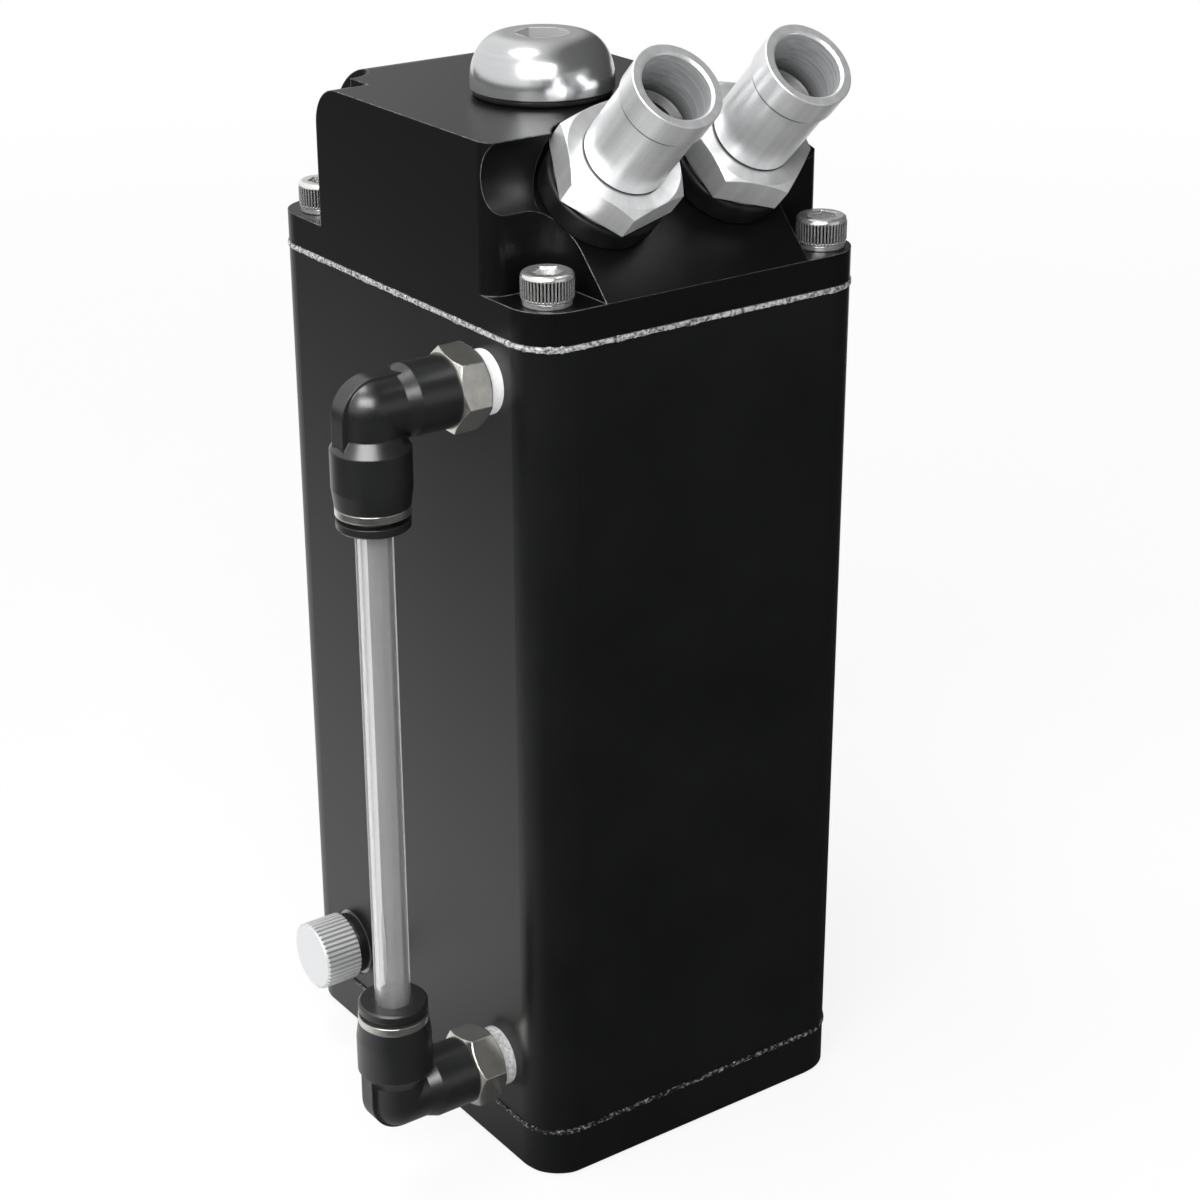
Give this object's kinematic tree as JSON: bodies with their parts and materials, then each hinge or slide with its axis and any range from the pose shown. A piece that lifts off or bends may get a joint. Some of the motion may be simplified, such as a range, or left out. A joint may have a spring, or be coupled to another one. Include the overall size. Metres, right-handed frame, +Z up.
{
  "type": "oil catch can",
  "caption": "Square black engine oil catch can with angled hose fittings on its lid, a domed filler plug, a clear sight gauge and a drain thumbscrew.",
  "frame": {"origin": "middle of the base plate's underside", "axes": "+Z is up along the tank, -Y is the front with the hose fittings, -X is the wall with the sight gauge"},
  "size_m": [0.0923, 0.0926, 0.1938],
  "materials": {
    "black_coat": "aluminium with a satin black coat",
    "bare_seam": "rough bare edge",
    "bright_steel": "plain bright steel",
    "polished_aluminium": "polished, with turning marks",
    "rubber": "matt black rubber",
    "nickel_plate": "nickel plated brass",
    "thread_tape": "white thread tape",
    "black_plastic": "semi-gloss moulded black",
    "clear_tube": "clear soft tube"
  },
  "bodies": {
    "tank": {"can_body": "black_coat", "base_plate": "black_coat", "base_gasket": "bare_seam", "base_screws": "bright_steel", "lid": "black_coat", "lid_gasket": "bare_seam", "lid_screws": "bright_steel", "lid_washers": "bright_steel", "inlet_fitting": "polished_aluminium", "inlet_seal": "rubber", "outlet_fitting": "polished_aluminium", "outlet_seal": "rubber", "sight_tube": "clear_tube", "upper_stem": "nickel_plate", "upper_tape": "thread_tape", "upper_elbow": "black_plastic", "upper_tube_seal": "rubber", "upper_grab_ring": "bright_steel", "upper_ring": "nickel_plate", "lower_stem": "nickel_plate", "lower_tape": "thread_tape", "lower_elbow": "black_plastic", "lower_tube_seal": "rubber", "lower_grab_ring": "bright_steel", "lower_ring": "nickel_plate"},
    "filler_ring": {"filler_seal": "rubber"},
    "filler": {"filler_plug": "polished_aluminium"},
    "drain_ring": {"drain_seal": "rubber"},
    "drain": {"drain_screw": "polished_aluminium"},
    "upper_release": {"upper_collar": "black_plastic"},
    "lower_release": {"lower_collar": "black_plastic"}
  },
  "joints": [
    {"name": "filler_lift", "type": "slide", "parent": "tank", "child": "filler_ring", "axis": [0, 0, 1], "range_m": [0, 0.009]},
    {"name": "filler_turn", "type": "hinge", "parent": "filler_ring", "child": "filler", "pos_m": [-0.0064, -0.004, 0.1791], "axis": [0, 0, 1], "range_deg": [0, 2160]},
    {"name": "drain_out", "type": "slide", "parent": "tank", "child": "drain_ring", "axis": [-1, 0, 0], "range_m": [0, 0.00562]},
    {"name": "drain_turn", "type": "hinge", "parent": "drain_ring", "child": "drain", "pos_m": [-0.0325, 0.0236, 0.0177], "axis": [-1, 0, 0], "range_deg": [0, 1620]},
    {"name": "upper_push", "type": "slide", "parent": "tank", "child": "upper_release", "axis": [0, 0, 1], "range_m": [0, 0.0008]},
    {"name": "lower_push", "type": "slide", "parent": "tank", "child": "lower_release", "axis": [0, 0, -1], "range_m": [0, 0.0008]}
  ],
  "couplings": [
    {"joint": "filler_turn", "follows": "filler_lift", "rad_per_m": 4188.8},
    {"joint": "drain_turn", "follows": "drain_out", "rad_per_m": 5026.5}
  ]
}
